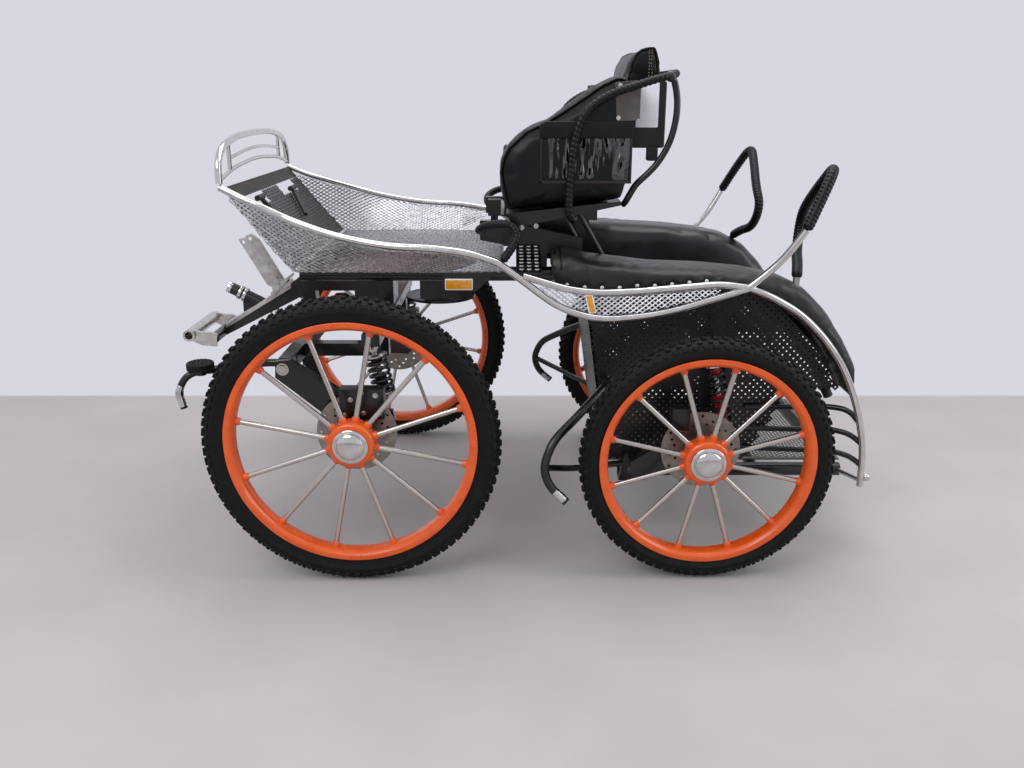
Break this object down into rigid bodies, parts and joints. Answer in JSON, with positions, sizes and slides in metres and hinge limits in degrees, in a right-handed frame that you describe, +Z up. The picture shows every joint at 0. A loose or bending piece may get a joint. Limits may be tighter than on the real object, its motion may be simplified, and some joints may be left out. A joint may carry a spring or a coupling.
{
  "type": "four-wheeled marathon carriage",
  "caption": "Light four-wheeled sports carriage with a mesh driver's basket, bucket seat, padded mudguards, a groom's well behind and a steered front carriage.",
  "frame": {"origin": "on the floor under the middle of the bounding box", "axes": "+Z up, -X towards the horse, -Y the carriage's left side"},
  "size_m": [2.041, 1.21, 1.4108],
  "materials": {
    "tyre_rubber": "matt, moulded",
    "orange_paint": "gloss",
    "bright_steel": "satin polished",
    "polished_steel": "mirror polished",
    "disc_steel": "ground",
    "black_paint": "gloss",
    "bare_steel": "machined",
    "damper_black": "satin",
    "damper_red": "gloss",
    "stainless": "satin",
    "silver_mesh": "expanded mesh, bright",
    "dark_sheet": "satin",
    "black_plastic": "satin",
    "black_leather": "satin",
    "brown_black_leather": "satin",
    "clear_vinyl": "clear, wrinkled",
    "amber": "moulded lens"
  },
  "bodies": {
    "chassis": {"turntable_upper": "black_paint", "main_frame": "black_paint", "basket_floor": "silver_mesh", "basket_rails": "polished_steel", "mesh_panels": "silver_mesh", "footboard": "dark_sheet", "brake_controls": "black_plastic", "rein_rail": "polished_steel", "side_rails": "polished_steel", "rear_rails": "polished_steel", "grab_handles": "polished_steel", "hand_grips": "black_leather", "mudguard_cushions": "brown_black_leather", "mudguard_trays": "black_paint", "well_panels": "dark_sheet", "well_floor": "silver_mesh", "rear_steps": "black_paint", "rear_arms": "black_paint", "rear_hub_carriers": "bare_steel", "rear_dampers": "damper_red", "wheel_guards": "black_paint", "seat_base": "black_paint", "driver_seat": "black_leather", "seat_back": "black_leather", "seat_back_case": "black_leather", "seat_side_plates": "stainless", "seat_pockets": "clear_vinyl", "seat_rails": "black_leather", "side_brackets": "black_paint", "reflectors": "amber"},
    "wheel_front_left": {"tyre_front_left": "tyre_rubber", "rim_and_hub_front_left": "orange_paint", "spokes_front_left": "bright_steel", "hub_cap_front_left": "polished_steel", "brake_disc_front_left": "disc_steel"},
    "wheel_front_right": {"tyre_front_right": "tyre_rubber", "rim_and_hub_front_right": "orange_paint", "spokes_front_right": "bright_steel", "hub_cap_front_right": "polished_steel", "brake_disc_front_right": "disc_steel"},
    "wheel_rear_left": {"tyre_rear_left": "tyre_rubber", "rim_and_hub_rear_left": "orange_paint", "spokes_rear_left": "bright_steel", "hub_cap_rear_left": "polished_steel", "brake_disc_rear_left": "disc_steel"},
    "wheel_rear_right": {"tyre_rear_right": "tyre_rubber", "rim_and_hub_rear_right": "orange_paint", "spokes_rear_right": "bright_steel", "hub_cap_rear_right": "polished_steel", "brake_disc_rear_right": "disc_steel"},
    "front_carriage": {"turntable_lower": "black_paint", "front_frame": "black_paint", "front_arms": "black_paint", "front_hub_carriers": "bare_steel", "front_dampers": "damper_black", "front_steps": "black_paint", "pole_carrier": "black_paint", "pole_clevis": "stainless", "pole_socket": "stainless", "draught_plate": "stainless"}
  },
  "joints": [
    {"name": "steering", "type": "hinge", "parent": "chassis", "child": "front_carriage", "pos_m": [-0.44, 0, 0.76], "axis": [0, 0, 1], "range_deg": [-35, 35]},
    {"name": "spin_front_left", "type": "hinge", "parent": "front_carriage", "child": "wheel_front_left", "pos_m": [-0.44, -0.557, 0.4], "axis": [0, 1, 0], "continuous": true},
    {"name": "spin_front_right", "type": "hinge", "parent": "front_carriage", "child": "wheel_front_right", "pos_m": [-0.44, 0.557, 0.4], "axis": [0, 1, 0], "continuous": true},
    {"name": "spin_rear_left", "type": "hinge", "parent": "chassis", "child": "wheel_rear_left", "pos_m": [0.51, -0.547, 0.345], "axis": [0, 1, 0], "continuous": true},
    {"name": "spin_rear_right", "type": "hinge", "parent": "chassis", "child": "wheel_rear_right", "pos_m": [0.51, 0.547, 0.345], "axis": [0, 1, 0], "continuous": true}
  ]
}
